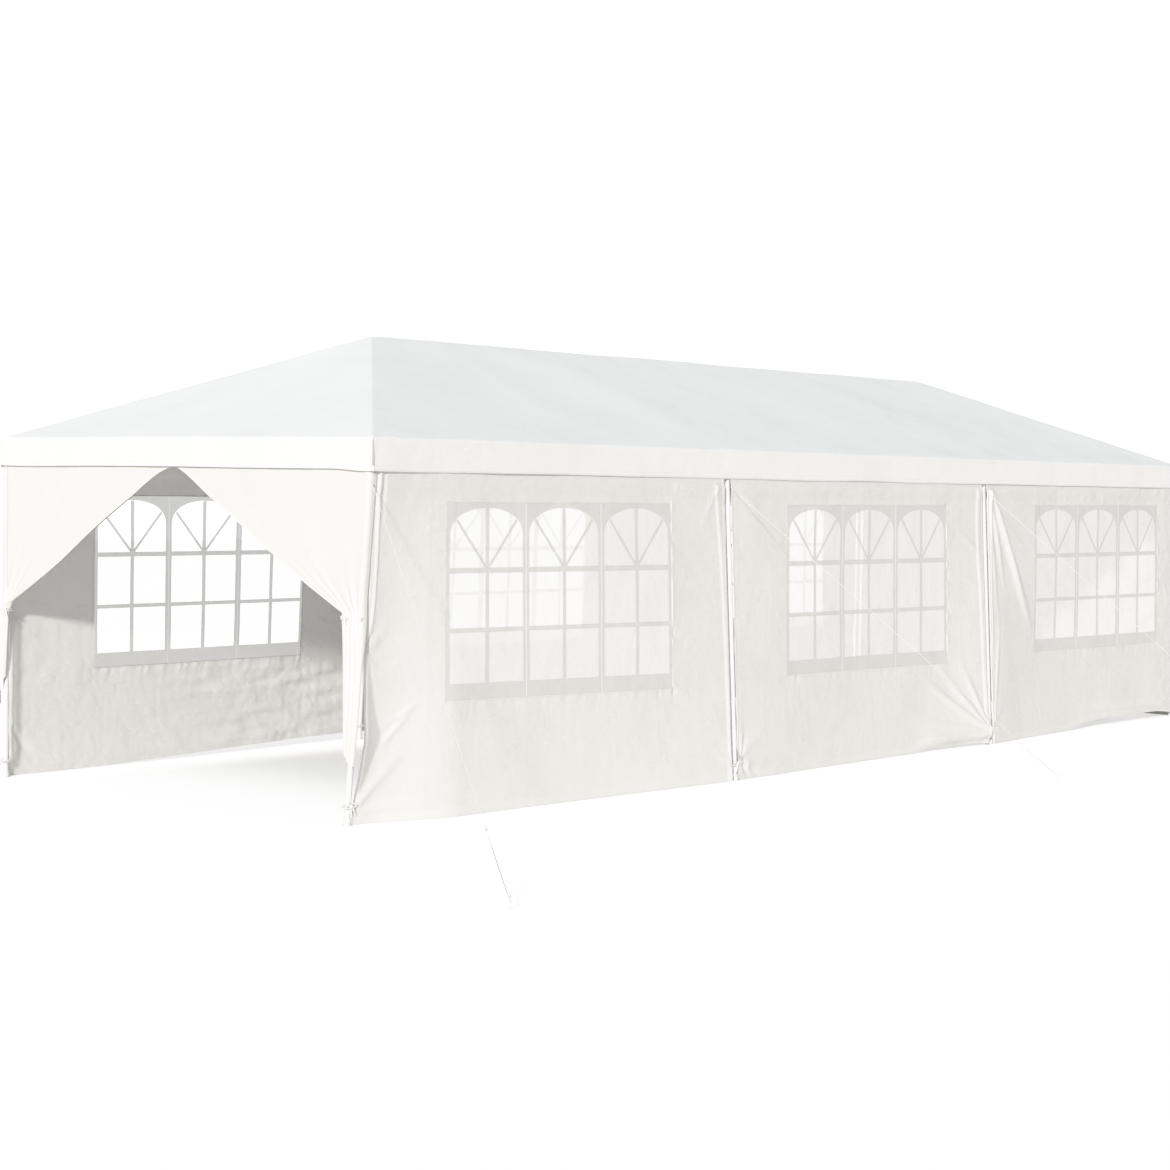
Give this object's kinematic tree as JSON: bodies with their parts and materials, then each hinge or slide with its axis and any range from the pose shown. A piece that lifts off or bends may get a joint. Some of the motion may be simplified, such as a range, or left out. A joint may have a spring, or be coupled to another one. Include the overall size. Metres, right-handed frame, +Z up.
{
  "type": "marquee tent",
  "caption": "Long white party marquee with a hipped roof and valance, steel tube legs, arched-window side walls, a door tied open in front, a closed door behind, and guy ropes.",
  "frame": {"origin": "on the ground, at the middle of the tent's footprint and of its box", "axes": "+Y along the tent, away from the open door; +X to the side of the near corner leg; +Z up"},
  "size_m": [7.0436, 11.4282, 2.59],
  "materials": {
    "frame_paint": "smooth white powder paint on thin steel tube",
    "roof_cloth": "woven plastic sheet with a dull coating, cool white",
    "wall_cloth": "thin woven plastic sheet, creased, pale warm grey",
    "door_cloth": "thin woven plastic sheet, creased, warm white",
    "window_film": "clear flexible film with pale grey printed bars",
    "rope_cord": "thin white braided cord with a steel peg head"
  },
  "bodies": {
    "root": {"leg_right_front": "frame_paint", "leg_right_middle_front": "frame_paint", "leg_right_middle_rear": "frame_paint", "leg_right_rear": "frame_paint", "leg_left_front": "frame_paint", "leg_left_middle_front": "frame_paint", "leg_left_middle_rear": "frame_paint", "leg_left_rear": "frame_paint", "front_eave_rail": "frame_paint", "rear_eave_rail": "frame_paint", "right_eave_rail": "frame_paint", "left_eave_rail": "frame_paint", "ridge_pole": "frame_paint", "hip_rafter_right_front": "frame_paint", "side_rafter_right_front": "frame_paint", "hip_rafter_right_rear": "frame_paint", "side_rafter_right_rear": "frame_paint", "hip_rafter_left_front": "frame_paint", "side_rafter_left_front": "frame_paint", "hip_rafter_left_rear": "frame_paint", "side_rafter_left_rear": "frame_paint", "roof_cover": "roof_cloth", "window_wall_right_front": "wall_cloth", "window_film_right_front": "window_film", "window_wall_right_middle": "wall_cloth", "window_film_right_middle": "window_film", "window_wall_right_rear": "wall_cloth", "window_film_right_rear": "window_film", "window_wall_left_front": "wall_cloth", "window_film_left_front": "window_film", "window_wall_left_middle": "wall_cloth", "window_film_left_middle": "window_film", "window_wall_left_rear": "wall_cloth", "window_film_left_rear": "window_film", "front_door_right": "door_cloth", "front_door_left": "door_cloth", "rear_door": "door_cloth", "guy_rope_right_front": "rope_cord", "guy_rope_right_middle_front": "rope_cord", "guy_rope_right_middle_rear": "rope_cord", "guy_rope_right_rear": "rope_cord", "guy_rope_left_front": "rope_cord", "guy_rope_left_middle_front": "rope_cord", "guy_rope_left_middle_rear": "rope_cord", "guy_rope_left_rear": "rope_cord"}
  },
  "joints": []
}
